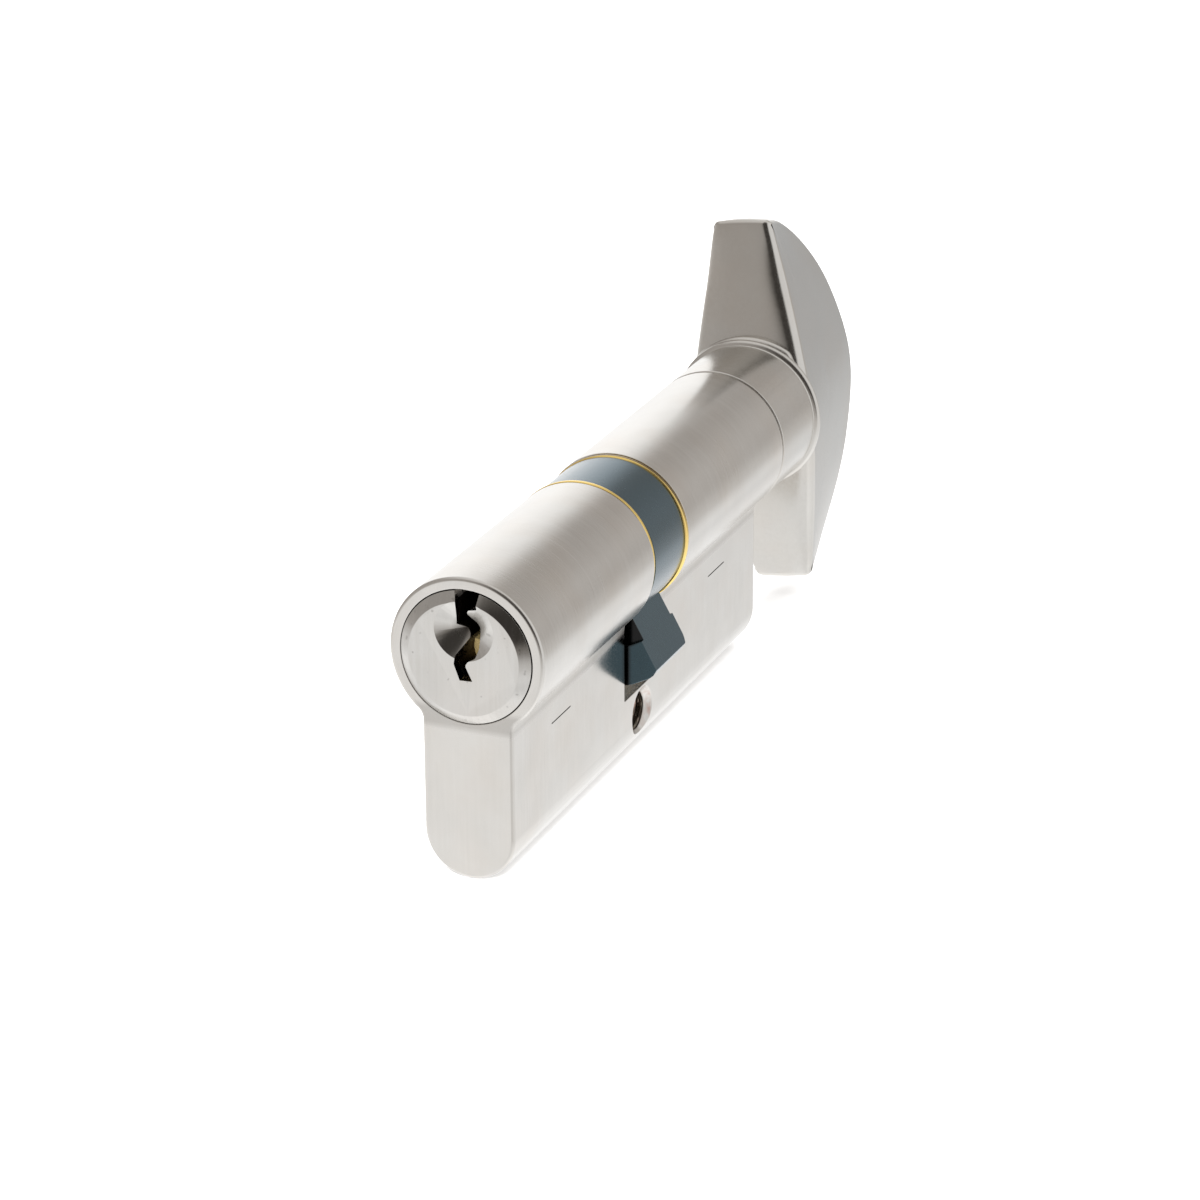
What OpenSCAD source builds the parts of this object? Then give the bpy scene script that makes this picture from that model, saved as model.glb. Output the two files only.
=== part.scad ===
// Euro profile cylinder: key plug on one side, thumb-turn knob on the other, cam between.
// Millimetres. Origin: centre of the cross-drilled fixing hole. Y runs along the cylinder.

/* [Housing] */
// Diameter of the round part of the profile
profile_d = 17; // [16:0.1:18]
// Thickness of the flat web below it
web_t = 10; // [9:0.1:11]
// Total height of the profile
profile_h = 33; // [32:0.1:34]
// Height of the cylinder's axis above the fixing hole
axis_z = 19; // [18:0.1:20]
// Length of the key half, from the hole's centre
key_half = 35; // [30:1:60]
// Length of the turn half, from the hole's centre
turn_half = 35; // [30:1:60]
// Width of the gap that the cam turns in
gap_w = 10; // [9:0.5:12]
// Height of the gap's floor above the fixing hole
gap_floor = 3.1; // [2.8:0.1:4]
// Radius of the fillet between the round part and the web
fillet_r = 1.5; // [1:0.1:2]
// Radius of the fixing hole
fix_r = 2.1; // [2:0.05:2.3]
// Depth of its countersinks
fix_sink = 0.8; // [0.5:0.05:1]

/* [Key plug] */
// Radius of the bores for plug and spindle
bore_r = 6.55; // [6.5:0.01:6.6]
// Radius of the plug and the spindle
shaft_r = 6.5; // [6.4:0.01:6.54]
// Radius of the plug's head
head_r = 7.18; // [7:0.01:7.24]
// Height that the plug's face stands out of the housing
proud = 0.72; // [0.4:0.01:1]
// Radius of the flat face
face_r = 6.1; // [5.8:0.05:6.5]
// Depth of the dish that guides the key
dish_depth = 1.2; // [0.8:0.05:1.6]
// Radius of the dish's mouth
dish_r = 3.25; // [2.8:0.05:3.6]

/* [Pins] */
// Radius of the pins
pin_r = 1.5; // [1.4:0.01:1.52]
// Radius of the pin bores
chamber_r = 1.55; // [1.5:0.01:1.6]
// Distance between neighbouring pins
pin_pitch = 4.5; // [4:0.1:5]
// Distance of the first pin from the key face
pin_first = 5.5; // [5:0.1:7]

/* [Cam] */
// Radius of the cam's ring
cam_r = 8.3; // [8:0.05:8.5]
// Width of the cam
cam_w = 8.4; // [8:0.1:9.4]
// Radius of the lever's tip
lever_r = 15.07; // [14.5:0.05:15.2]
// Angle of the lever from straight down
lever_angle = 25.5; // [-40:0.5:40]

/* [Knob] */
// Height of the knob
knob_h = 44.4; // [36:0.2:48]
// Radius of its round back
knob_back_r = 22.5; // [18:0.5:26]
// Angle the knob leans at rest
knob_angle = 7.48; // [-90:0.01:90]
// Radius of the collar
collar_r = 8.5; // [8:0.1:9]

/* [Hidden] */
$fn = 96;

profile_r = profile_d / 2;
web_x = web_t / 2;
bottom_z = profile_r - profile_h;
round_z = bottom_z + web_x;
fillet_x = web_x + fillet_r;
fillet_z = -sqrt(pow(profile_r + fillet_r, 2) - fillet_x * fillet_x);
relief = 0.15;
fill_x = fillet_x * profile_r / (profile_r + fillet_r) - relief;
head_depth = 1.5;
face_y = -key_half - proud;
dish_sphere = (dish_r * dish_r + dish_depth * dish_depth) / (2 * dish_depth);
dish_x = 0.1;
dish_z = 3.1;
keyway = [[-0.42, -2.3], [0.98, -2.25], [0.2, -0.65], [0.5, -0.2], [1.3, 0.25], [1.6, 1.2],
    [1.65, 3.45], [1.3, 3.85], [0.6, 4.3], [0.2, 4.7], [0.4, 5.15], [1.45, 5.45], [1.7, 8],
    [-1.4, 8], [-0.8, 6.2], [-1.05, 3.4], [0, 3], [0.38, 2.5], [0.38, 2.1], [-0.9, 0.3],
    [-1.05, -0.6]];
half_cam = cam_w / 2;
neck_front = -3.7;
head_half = half_cam + 0.35;
head_from = 10.9;
clip_near = half_cam + 0.1;
clip_far = gap_w / 2 - 0.1;
groove_r = 5.6;
clip_in = 5.65;
clip_out = 8.45;
shoulder_end = 3.5;
tail_r = 4.9;
slot_w = 3;
lug_w = 2.9;
lug_r = 6;
bar_r = 4.8;
recess_r = 6.2;
middle = 1.2;
clutch_travel = 2.2;
spring_bore = 3.3;
pin_tips = [0.3, -0.5, 0.1, -0.8, -0.2];
chamber_top = 2.8;
pin_foot = -6.3;
driver_top = -6.6;
driver_len = 5;
cap_top = -22.3;
cap_r = 1.6;
mark_z = -10.45;
mark_depth = 0.25;
mark_h = 0.3;
spigot_r = 5.5;
spigot_end = turn_half + 7;
collar_y = turn_half + 0.15;
neck_y = turn_half + 10.3;
front_y = turn_half + 10.93;
front_slope = 0.22;
back_centre = turn_half + 12.4;
side_half = 7.99;
side_s = 0.1645;
side_y = 0.1585;
side_turn = atan(side_y);
side_lift = asin(side_s / sqrt(1 + side_s * side_s + side_y * side_y));
screw_y = turn_half + 4.6;
screw_r = 1.4;

// Extrudes a flat X-Z outline along Y, from y0 to y1.
module along(y0, y1) {
    translate([0, y1, 0]) rotate([90, 0, 0]) linear_extrude(y1 - y0) children();
}

// Moves children onto the cylinder's axis.
module on_axis() {
    translate([0, 0, axis_z]) children();
}

// Round bar on the cylinder's axis, from y0 to y1.
module bar(r, y0, y1) {
    along(y0, y1) circle(r);
}

module profile() {
    difference() {
        union() {
            circle(profile_r);
            translate([-web_x, round_z]) square([web_t, -round_z]);
            translate([0, round_z]) circle(web_x);
            translate([-fill_x, fillet_z + relief]) square([2 * fill_x, fillet_r]);
        }
        for (side = [-1, 1]) translate([side * fillet_x, fillet_z]) circle(fillet_r);
    }
}

function pin_y(i) = -key_half + pin_first + i * pin_pitch;

module upright(r, z0, z1, y) {
    translate([0, y, z0]) cylinder(h = z1 - z0, r = r);
}

module cylinder_body() color([0.78, 0.76, 0.73]) difference() {
    on_axis() difference() {
        along(-key_half, turn_half) profile();
        translate([-20, -gap_w / 2, gap_floor - axis_z]) cube([40, gap_w, 40]);
        bar(bore_r, -key_half - 1, 0);
        bar(7.25, -key_half - 1, -key_half + head_depth);
        bar(bore_r, 0, turn_half + 1);
        for (i = [0 : 4]) {
            upright(chamber_r, bottom_z - 1, 0, pin_y(i));
            upright(cap_r, bottom_z - 1, cap_top, pin_y(i));
        }
        for (side = [-1, 1], end = [-1, 1])
            translate([side * web_x - mark_depth, end * 22.5 - 2.5, mark_z - mark_h / 2])
                cube([2 * mark_depth, 5, mark_h]);
    }
    rotate([0, 90, 0]) cylinder(h = 20, r = fix_r, center = true);
    for (side = [0, 180])
        rotate([0, 90, side]) translate([0, 0, web_x - fix_sink])
            cylinder(h = fix_sink, r1 = fix_r, r2 = fix_r + fix_sink);
}

module key_plug() color([0.8, 0.78, 0.75]) on_axis() difference() {
    union() {
        translate([0, face_y, 0]) rotate([-90, 0, 0])
            cylinder(h = proud, r1 = face_r, r2 = head_r - 0.03);
        bar(head_r, -key_half, -key_half + head_depth - 0.1);
        bar(shaft_r, -key_half + head_depth - 0.1, -clip_far - 0.05);
        bar(groove_r, -clip_far - 0.05, -clip_near + 0.05);
        bar(shaft_r, -clip_near + 0.05, -shoulder_end);
        bar(tail_r, -shoulder_end, -middle + 0.05);
    }
    translate([dish_x, face_y + dish_depth - dish_sphere, dish_z]) sphere(dish_sphere);
    along(face_y - 1, 0) polygon(keyway);
    for (i = [0 : 4]) upright(chamber_r, -8, chamber_top, pin_y(i));
    along(-5.7, 0) square([slot_w, 2 * tail_r + 0.1], center = true);
}

module clip_ring(y0, y1) {
    difference() {
        bar(clip_out, y0, y1);
        bar(clip_in, y0 - 1, y1 + 1);
        translate([-1.8, y0 - 1, -10]) cube([3.6, y1 - y0 + 2, 10]);
    }
}

module front_retaining_clip() color([0.8, 0.64, 0.34]) on_axis() clip_ring(-clip_far, -clip_near);

module rear_retaining_clip() color([0.8, 0.64, 0.34]) on_axis() clip_ring(clip_near, clip_far);

// Outline of the lever outside radius r0.
module lever(r0) {
    difference() {
        rotate(-90 + lever_angle) intersection() {
            polygon([[0, -2.3], [8.49, -2.3], [14.46, -2.55], [14.86, -2], [16, -2],
                [16, 2], [14.86, 2], [14.46, 2.55], [8.49, 2.3], [0, 2.3]]);
            circle(lever_r);
        }
        circle(r0);
    }
}

module cam() color([0.3, 0.36, 0.4]) on_axis() difference() {
    union() {
        bar(cam_r, -half_cam, half_cam);
        along(neck_front, half_cam) lever(recess_r + 1);
        along(-head_half, head_half) lever(head_from);
    }
    bar(5, -half_cam - 1, half_cam + 1);
    bar(recess_r, -half_cam - 1, -middle);
    bar(recess_r, middle - 0.05, half_cam + 1);
    bar(shaft_r + 0.1, -half_cam - 1, -shoulder_end + 0.1);
    bar(shaft_r + 0.1, shoulder_end - 0.1, half_cam + 1);
    along(-half_cam, half_cam) intersection() {
        square([slot_w, 20], center = true);
        circle(recess_r);
    }
}

module clutch_blade(reach) {
    intersection() {
        square([lug_w, 20], center = true);
        circle(reach);
    }
}

module front_clutch() color([0.62, 0.6, 0.57]) on_axis() {
    along(-5.4, -middle) clutch_blade(bar_r);
    along(-shoulder_end + 0.1, -middle) clutch_blade(lug_r);
}

module rear_clutch() color([0.62, 0.6, 0.57]) on_axis() {
    along(-middle + 0.1, shoulder_end - 0.2) clutch_blade(bar_r);
    along(-middle + 0.1, middle - 0.1) clutch_blade(lug_r);
}

// Round-wire coil spring standing on Z, from 0 to height.
module coil(mean_r, wire_r, height, turns) {
    sides = 6;
    steps = 12 * turns;
    rise = (height - 2 * wire_r) / steps;
    points = [for (i = [0 : steps], j = [0 : sides - 1])
        let (a = 30 * i, b = 360 * j / sides, r = mean_r + wire_r * cos(b))
        [r * cos(a), r * sin(a), wire_r + rise * i + wire_r * sin(b)]];
    walls = [for (i = [0 : steps - 1], j = [0 : sides - 1])
        let (k = (j + 1) % sides)
        [sides * i + j, sides * (i + 1) + j, sides * (i + 1) + k, sides * i + k]];
    first = [for (j = [0 : sides - 1]) j];
    last = [for (j = [sides - 1 : -1 : 0]) sides * steps + j];
    polyhedron(points, concat([first], walls, [last]));
}

module clutch_spring() color([0.7, 0.7, 0.7])
    on_axis() translate([0, shoulder_end - 0.15, 0]) rotate([-90, 0, 0]) coil(2.6, 0.35, 9.5, 6);

module turn_spindle() color([0.76, 0.66, 0.44]) on_axis() difference() {
    union() {
        bar(tail_r, middle, shoulder_end);
        bar(shaft_r, shoulder_end, clip_near - 0.05);
        bar(groove_r, clip_near - 0.05, clip_far + 0.05);
        bar(shaft_r, clip_far + 0.05, turn_half + 0.1);
        rotate([0, -knob_angle, 0]) intersection() {
            bar(spigot_r, turn_half + 0.1, spigot_end);
            translate([-10, 0, -5]) cube([20, 100, 20]);
        }
    }
    along(0, 5.7) square([slot_w, 2 * tail_r + 0.1], center = true);
    bar(spring_bore, shoulder_end - 0.3, 13);
}

// Half of the space outside one tapered flank of the grip.
module flank_cut() {
    translate([side_half, front_y - 0.03, 0]) rotate([0, -side_lift, side_turn])
        translate([0, -50, -50]) cube([30, 100, 100]);
}

module grip() {
    difference() {
        translate([-side_half, 0, 0]) rotate([90, 0, 90]) linear_extrude(2 * side_half)
            intersection() {
                polygon([[front_y, 0], [front_y + front_slope * knob_h / 2, knob_h / 2],
                    [100, knob_h / 2], [100, -knob_h / 2],
                    [front_y + front_slope * knob_h / 2, -knob_h / 2]]);
                union() {
                    translate([back_centre, 0]) circle(knob_back_r);
                    translate([0, -knob_h / 2]) square([back_centre, knob_h]);
                }
            }
        for (a = [0, 1], b = [0, 1]) mirror([a, 0, 0]) mirror([0, 0, b]) flank_cut();
    }
}

module hub() {
    rotate([-90, 0, 0]) rotate_extrude()
        polygon([[0, collar_y], [collar_r - 0.3, collar_y], [collar_r, collar_y + 0.3],
            [collar_r, neck_y - 0.2], [collar_r - 0.3, neck_y], [collar_r - 0.3, neck_y + 0.4],
            [collar_r + 0.35, neck_y + 0.6], [collar_r + 0.45, neck_y + 0.9],
            [collar_r + 0.15, neck_y + 1.4], [collar_r + 0.55, neck_y + 1.8],
            [7.6, neck_y + 3.6], [0, neck_y + 3.6]]);
}

module turn_knob() color([0.76, 0.74, 0.71]) on_axis() rotate([0, -knob_angle, 0]) difference() {
    union() {
        grip();
        hub();
    }
    bar(spigot_r + 0.05, turn_half, spigot_end + 0.1);
    upright(screw_r + 0.05, -20, 0, screw_y);
}

module knob_grub_screw() color([0.25, 0.25, 0.27]) on_axis() rotate([0, -knob_angle, 0]) difference() {
    upright(screw_r, -8.2, -5.15, screw_y);
    translate([0, screw_y, -8.7]) cylinder(h = 1.7, r = 0.85, $fn = 6);
}

module key_pin(i) color([0.82, 0.66, 0.36]) on_axis() {
    upright(pin_r, pin_foot, pin_tips[i] - 0.25, pin_y(i));
    translate([0, pin_y(i), pin_tips[i] - 0.25]) cylinder(h = 0.25, r1 = pin_r, r2 = pin_r - 0.25);
}

module driver_pin(i) color([0.82, 0.66, 0.36]) on_axis()
    upright(pin_r, driver_top - driver_len, driver_top, pin_y(i));

module pin_spring(i) color([0.7, 0.7, 0.7]) on_axis()
    translate([0, pin_y(i), cap_top + 0.05]) coil(1.15, 0.2, driver_top - driver_len - cap_top - 0.1, 7);

module bore_cap(i) color([0.76, 0.72, 0.66]) on_axis() intersection() {
    upright(cap_r, bottom_z - 1, cap_top, pin_y(i));
    along(-key_half, turn_half) translate([0, round_z]) circle(web_x);
}

module key_pin_1() key_pin(0);
module key_pin_2() key_pin(1);
module key_pin_3() key_pin(2);
module key_pin_4() key_pin(3);
module key_pin_5() key_pin(4);
module driver_pin_1() driver_pin(0);
module driver_pin_2() driver_pin(1);
module driver_pin_3() driver_pin(2);
module driver_pin_4() driver_pin(3);
module driver_pin_5() driver_pin(4);
module pin_spring_1() pin_spring(0);
module pin_spring_2() pin_spring(1);
module pin_spring_3() pin_spring(2);
module pin_spring_4() pin_spring(3);
module pin_spring_5() pin_spring(4);
module bore_cap_1() bore_cap(0);
module bore_cap_2() bore_cap(1);
module bore_cap_3() bore_cap(2);
module bore_cap_4() bore_cap(3);
module bore_cap_5() bore_cap(4);

cylinder_body();
key_plug();
front_retaining_clip();
rear_retaining_clip();
cam();
front_clutch();
rear_clutch();
clutch_spring();
turn_spindle();
turn_knob();
knob_grub_screw();
key_pin_1();
key_pin_2();
key_pin_3();
key_pin_4();
key_pin_5();
driver_pin_1();
driver_pin_2();
driver_pin_3();
driver_pin_4();
driver_pin_5();
pin_spring_1();
pin_spring_2();
pin_spring_3();
pin_spring_4();
pin_spring_5();
bore_cap_1();
bore_cap_2();
bore_cap_3();
bore_cap_4();
bore_cap_5();
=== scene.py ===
"""Euro profile cylinder with a thumb-turn knob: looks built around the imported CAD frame.

Shapes are drawn in millimetres, with x across, y along the cylinder and z measured from the
cylinder's axis. mesh_object() turns them into metres in the CAD's frame. Shader numbers are metres
in that frame.
"""
import math

import bmesh
import bpy
import numpy as np
from mathutils import Matrix, Vector


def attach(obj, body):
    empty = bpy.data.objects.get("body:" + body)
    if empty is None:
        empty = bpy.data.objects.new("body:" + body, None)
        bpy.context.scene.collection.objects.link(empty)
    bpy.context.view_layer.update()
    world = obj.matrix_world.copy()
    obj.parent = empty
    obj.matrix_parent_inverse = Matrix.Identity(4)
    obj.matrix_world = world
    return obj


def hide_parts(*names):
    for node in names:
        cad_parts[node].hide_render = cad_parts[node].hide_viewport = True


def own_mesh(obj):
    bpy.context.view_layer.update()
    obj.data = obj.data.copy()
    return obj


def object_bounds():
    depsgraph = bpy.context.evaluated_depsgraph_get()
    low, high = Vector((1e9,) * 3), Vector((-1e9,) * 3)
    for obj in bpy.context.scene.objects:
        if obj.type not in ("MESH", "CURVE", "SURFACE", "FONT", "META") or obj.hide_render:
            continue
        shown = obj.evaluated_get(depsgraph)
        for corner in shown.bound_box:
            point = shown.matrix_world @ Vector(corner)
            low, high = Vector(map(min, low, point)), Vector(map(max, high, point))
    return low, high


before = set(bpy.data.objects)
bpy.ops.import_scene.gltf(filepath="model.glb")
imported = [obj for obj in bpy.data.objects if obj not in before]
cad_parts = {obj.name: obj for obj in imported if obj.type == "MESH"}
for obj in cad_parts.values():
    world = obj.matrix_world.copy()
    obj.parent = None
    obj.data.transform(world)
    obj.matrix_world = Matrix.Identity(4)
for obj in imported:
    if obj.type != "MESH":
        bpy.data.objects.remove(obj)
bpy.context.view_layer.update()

MM = 0.001
AXIS_Z = 19.0                    # the cylinder's axis above the fixing hole
KEY_Y, TURN_Y = -35.0, 35.0      # the housing's end faces
FIRST_PIN, PIN_PITCH, PINS = 5.5, 4.5, 5
PIN_Y = [KEY_Y + FIRST_PIN + PIN_PITCH * i for i in range(PINS)]
PIN_R = 1.5
GAP, GAP_FOOT = 5, -15.9         # half the cam gap's length, and its lowest point
BORE_R, HEAD_BORE_R = 6.55, 7.25
CORE_R = 6.5                     # radius of the plug and of the spindle
GROOVE_R = 5.6                   # floor of the grooves that hold the clips
BLADE = 1.5                      # half the width of the couplers' blades
KNOB_LEAN = math.radians(7.48)
KNOB_SCREW_Y = 39.6
scene = bpy.context.scene


# ---------------------------------------------------------------- mesh helpers

def link(name, mesh):
    ob = bpy.data.objects.new(name, mesh)
    scene.collection.objects.link(ob)
    return ob


def mesh_object(name, verts, faces):
    """A closed mesh from axis-centred millimetres, with its normals facing out."""
    mesh = bpy.data.meshes.new(name)
    mesh.from_pydata([(x * MM, y * MM, (z + AXIS_Z) * MM) for x, y, z in verts], [], faces)
    bm = bmesh.new()
    bm.from_mesh(mesh)
    bmesh.ops.remove_doubles(bm, verts=bm.verts, dist=1e-8)
    bmesh.ops.recalc_face_normals(bm, faces=bm.faces)
    bm.to_mesh(mesh)
    bm.free()
    return link(name, mesh)


def apply_modifiers(ob):
    graph = bpy.context.evaluated_depsgraph_get()
    mesh = bpy.data.meshes.new_from_object(ob.evaluated_get(graph))
    old = ob.data
    ob.modifiers.clear()
    ob.data = mesh
    mesh.name = ob.name
    bpy.data.meshes.remove(old)


def cut(ob, *tools, operation="DIFFERENCE"):
    """Applies each tool to the piece as a boolean, and deletes the tool."""
    for tool in tools:
        mod = ob.modifiers.new("cut", "BOOLEAN")
        mod.operation, mod.solver, mod.object = operation, "EXACT", tool
        apply_modifiers(ob)
        bpy.data.objects.remove(tool)
    return ob


def merge_flats(ob):
    """Joins faces that lie in one plane, so that flat areas shade as flat."""
    bm = bmesh.new()
    bm.from_mesh(ob.data)
    bmesh.ops.dissolve_limit(bm, angle_limit=math.radians(0.2), verts=bm.verts, edges=bm.edges)
    bm.to_mesh(ob.data)
    bm.free()


def bevel(ob, width, segments, angle):
    """Rounds the edges that turn by more than angle degrees."""
    merge_flats(ob)
    mod = ob.modifiers.new("bevel", "BEVEL")
    mod.width, mod.segments = width * MM, segments
    mod.limit_method, mod.angle_limit = "ANGLE", math.radians(angle)
    mod.miter_outer = "MITER_ARC"
    apply_modifiers(ob)
    return ob


LARGE_FACE = 2 * MM * MM         # in square metres


def smooth(ob, angle):
    """Smooth shading between edges sharper than angle, with the large end faces shaded flat."""
    mesh = ob.data
    mesh.polygons.foreach_set("use_smooth", [True] * len(mesh.polygons))
    mesh.set_sharp_from_angle(angle=math.radians(angle))
    mod = ob.modifiers.new("normals", "WEIGHTED_NORMAL")
    mod.keep_sharp = True
    mod.weight = 60
    apply_modifiers(ob)
    mesh = ob.data
    normals = [Vector(n.vector) for n in mesh.corner_normals]
    for face in mesh.polygons:
        if abs(face.normal.y) > 0.9999 and face.area > LARGE_FACE:
            for loop in face.loop_indices:
                normals[loop] = face.normal.copy()
    mesh.normals_split_custom_set(normals)
    return ob


def ramp(value, lo, hi):
    """0 below lo, 1 above hi, and straight in between."""
    return max(0.0, min(1.0, (value - lo) / (hi - lo)))


def ease(t):
    return t * t * (3 - 2 * t)


def rounded(points, radii, closed=False, steps=5):
    """The polyline with each corner replaced by an arc of its radius."""
    out, n = [], len(points)
    for i, (p, r) in enumerate(zip(points, radii)):
        p = Vector(p)
        if r <= 0 or (not closed and i in (0, n - 1)):
            out.append(p)
            continue
        a = (Vector(points[i - 1]) - p).normalized()
        b = (Vector(points[(i + 1) % n]) - p).normalized()
        half = a.angle(b) / 2
        reach = min(r / math.tan(half), 0.48 * (Vector(points[i - 1]) - p).length,
                    0.48 * (Vector(points[(i + 1) % n]) - p).length)
        r = reach * math.tan(half)
        centre = p + (a + b).normalized() * (r / math.sin(half))
        start, end = p + a * reach - centre, p + b * reach - centre
        turn = start.angle_signed(end)
        for k in range(steps + 1):
            t = -turn * k / steps
            c, s = math.cos(t), math.sin(t)
            out.append(centre + Vector((c * start.x - s * start.y, s * start.x + c * start.y)))
    return [(v.x, v.y) for v in out]


def lathe(name, profile, n=160, closed=False):
    """Turns (radius, y) points about the cylinder's axis."""
    verts, rings, faces = [], [], []
    for r, y in profile:
        first = len(verts)
        if r < 1e-6:
            verts.append((0, y, 0))
            rings.append([first] * n)
        else:
            verts += [(r * math.sin(2 * math.pi * i / n), y, r * math.cos(2 * math.pi * i / n))
                      for i in range(n)]
            rings.append(list(range(first, first + n)))
    pairs = list(zip(rings, rings[1:])) + ([(rings[-1], rings[0])] if closed else [])
    for a, b in pairs:
        for i in range(n):
            j = (i + 1) % n
            face = [a[i], b[i], b[j], a[j]]
            face = [v for k, v in enumerate(face) if v not in face[:k]]
            if len(face) > 2:
                faces.append(face)
    return mesh_object(name, verts, faces)


def slab(name, verts):
    """A slab between two equal outlines, given one after the other."""
    n = len(verts) // 2
    faces = [list(range(n)), list(range(2 * n - 1, n - 1, -1))]
    faces += [[i, n + i, n + (i + 1) % n, (i + 1) % n] for i in range(n)]
    return mesh_object(name, verts, faces)


def prism(name, outline, y0, y1):
    """Extrudes a closed x-z outline along Y."""
    return slab(name, [(x, y, z) for y in (y0, y1) for x, z in outline])


def skin(name, rings):
    """Rings of points joined by quads and closed at both ends."""
    n = len(rings[0])
    verts = [point for ring in rings for point in ring]
    faces = []
    for a in range(0, len(verts) - n, n):
        faces += [[a + i, a + n + i, a + n + (i + 1) % n, a + (i + 1) % n] for i in range(n)]
    faces += [list(range(n)), list(range(len(verts) - 1, len(verts) - n - 1, -1))]
    return mesh_object(name, verts, faces)


def block(name, lo, hi):
    """A box between two corners."""
    x0, z0, x1, z1 = lo[0], lo[2], hi[0], hi[2]
    return prism(name, [(x0, z0), (x1, z0), (x1, z1), (x0, z1)], lo[1], hi[1])


def post(name, profile, y, n=64):
    """Turns (radius, z) points about a vertical axis at that y."""
    ob = lathe(name, profile, n)
    for v in ob.data.vertices:
        x, h, z = v.co.x / MM, v.co.y / MM, v.co.z / MM - AXIS_Z
        v.co = (x * MM, (y - z) * MM, (h + AXIS_Z) * MM)
    return ob


def tube(name, path, radius, sides):
    """A round wire along a path, with flat ends."""
    pts = np.array(path, float)
    tangent = np.gradient(pts, axis=0)
    tangent /= np.linalg.norm(tangent, axis=1)[:, None]
    side = np.cross(tangent[0], (0.3, 0.5, 0.8))
    angles = [2 * math.pi * k / sides for k in range(sides)]
    rings = []
    for p, t in zip(pts, tangent):
        side = side - t * side.dot(t)
        side /= np.linalg.norm(side)
        up = np.cross(t, side)
        rings.append([tuple(p + radius * (math.cos(a) * side + math.sin(a) * up)) for a in angles])
    return skin(name, rings)



def arc(cx, cz, r, a0, a1, n):
    """n + 1 points on a circle, from a0 to a1 degrees."""
    return [(cx + r * math.cos(math.radians(a0 + (a1 - a0) * i / n)),
             cz + r * math.sin(math.radians(a0 + (a1 - a0) * i / n))) for i in range(n + 1)]


# ---------------------------------------------------------------- materials

class Graph:
    """Small wrapper that adds and links shader nodes."""

    def __init__(self, tree):
        self.tree = tree

    def feed(self, value, socket):
        """Links a socket, or sets a number or colour."""
        if isinstance(value, bpy.types.NodeSocket):
            self.tree.links.new(value, socket)
        else:
            socket.default_value = value

    def add(self, kind, inputs=None, **attributes):
        node = self.tree.nodes.new(kind)
        for key, value in attributes.items():
            setattr(node, key, value)
        for key, value in (inputs or {}).items():
            self.feed(value, node.inputs[key])
        return node

    def math(self, operation, *values):
        node = self.add("ShaderNodeMath", operation=operation)
        for socket, value in zip(node.inputs, values):
            self.feed(value, socket)
        return node.outputs[0]

    def product(self, first, *others):
        for other in others:
            first = self.math("MULTIPLY", first, other)
        return first

    def distance(self, a, b):
        """The length of the vector (a, b)."""
        return self.math("SQRT", self.math("ADD", self.math("MULTIPLY", a, a), self.math("MULTIPLY", b, b)))

    def split(self, vector):
        return self.add("ShaderNodeSeparateXYZ", {0: vector}).outputs

    def off_axis(self, x, z):
        """Distance from the cylinder's axis."""
        return self.distance(x, self.math("SUBTRACT", z, AXIS_Z * MM))

    def span(self, value, lo, hi, out_lo=0.0, out_hi=1.0, smooth=False):
        """Maps lo..hi to out_lo..out_hi, and holds the ends."""
        node = self.add("ShaderNodeMapRange", {"Value": value, "From Min": lo, "From Max": hi,
                                               "To Min": out_lo, "To Max": out_hi})
        node.interpolation_type = "SMOOTHSTEP" if smooth else "LINEAR"
        return node.outputs[0]

    def noise(self, coords, scale, detail=3.0, rough=0.6):
        return self.add("ShaderNodeTexNoise", {"Vector": coords, "Scale": scale, "Detail": detail,
                                               "Roughness": rough}).outputs["Fac"]

    def scaled(self, coords, sx, sy, sz):
        return self.add("ShaderNodeVectorMath", {0: coords, 1: (sx, sy, sz)},
                        operation="MULTIPLY").outputs[0]

    def mix(self, factor, a, b, blend="MIX"):
        node = self.add("ShaderNodeMix", {0: factor, 6: a, 7: b}, data_type="RGBA", blend_type=blend)
        return node.outputs[2]


def rgb(r, g, b):
    return (r, g, b, 1.0)


def new_material(name, shader="ShaderNodeBsdfPrincipled"):
    mat = bpy.data.materials.new(name)
    mat.use_nodes = True
    mat.node_tree.nodes.clear()
    g = Graph(mat.node_tree)
    shader_node = g.add(shader)
    g.add("ShaderNodeOutputMaterial", {0: shader_node.outputs[0]})
    return mat, g, shader_node.inputs


MARK_Y, MARK_Z = 22.5, -10.45    # middle of each engraved mark on the web
LINE_SCALE = 120.0               # noise scale along a grinding line; fine is the scale across it


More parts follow.
